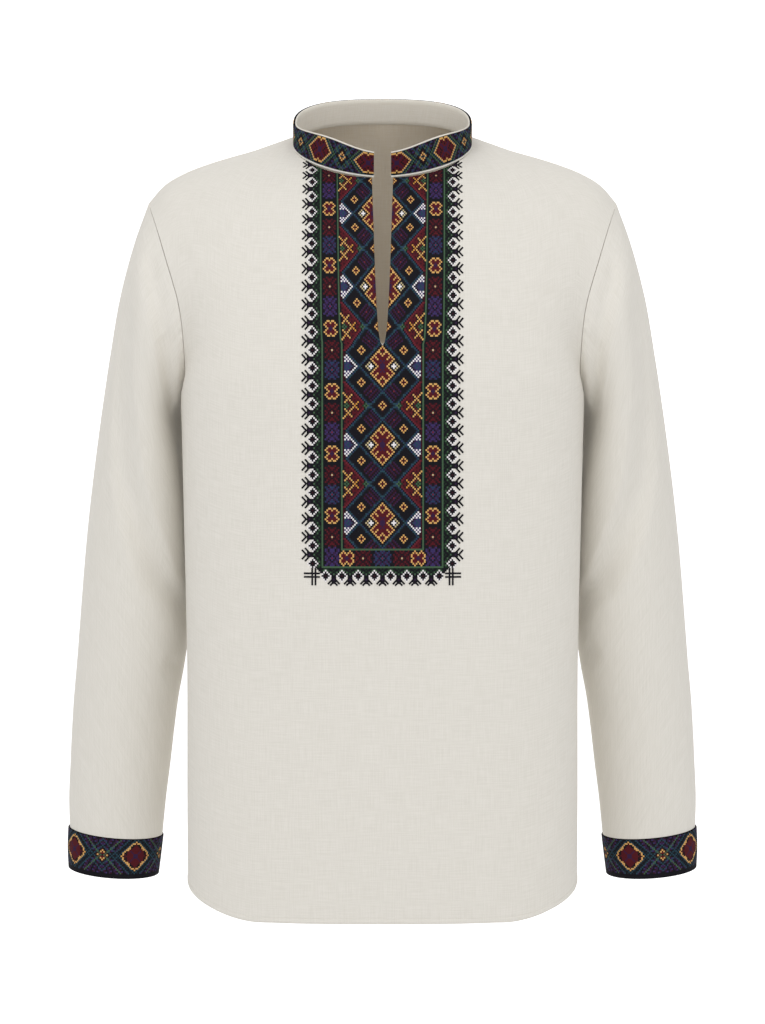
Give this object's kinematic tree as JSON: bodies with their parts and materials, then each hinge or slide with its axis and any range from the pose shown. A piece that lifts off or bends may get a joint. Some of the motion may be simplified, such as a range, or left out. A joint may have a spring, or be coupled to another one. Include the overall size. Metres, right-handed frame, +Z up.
{
  "type": "vyshyvanka shirt",
  "caption": "Long-sleeved ivory linen shirt with a low stand collar, neck slit and dark cross-stitch on the chest, collar and cuffs, filled out as when worn",
  "frame": {"origin": "Midway between the high points of the shoulders, where the wearer's shoulders carry the shirt", "axes": "+Z up, +X to the wearer's left, so the front with the slit faces -Y"},
  "size_m": [0.6256, 0.255, 0.798],
  "materials": {
    "linen": "matte ivory linen",
    "band_embroidery": "dense dark cross-stitch in many colours",
    "facing": "matte cream linen",
    "piping": "matte white cotton"
  },
  "bodies": {
    "root": {"front": "linen", "back": "linen", "sleeve_left": "linen", "sleeve_right": "linen", "cuff_left": "band_embroidery", "cuff_right": "band_embroidery", "collar": "band_embroidery", "collar_facing": "facing", "neck_piping": "piping"}
  },
  "joints": []
}
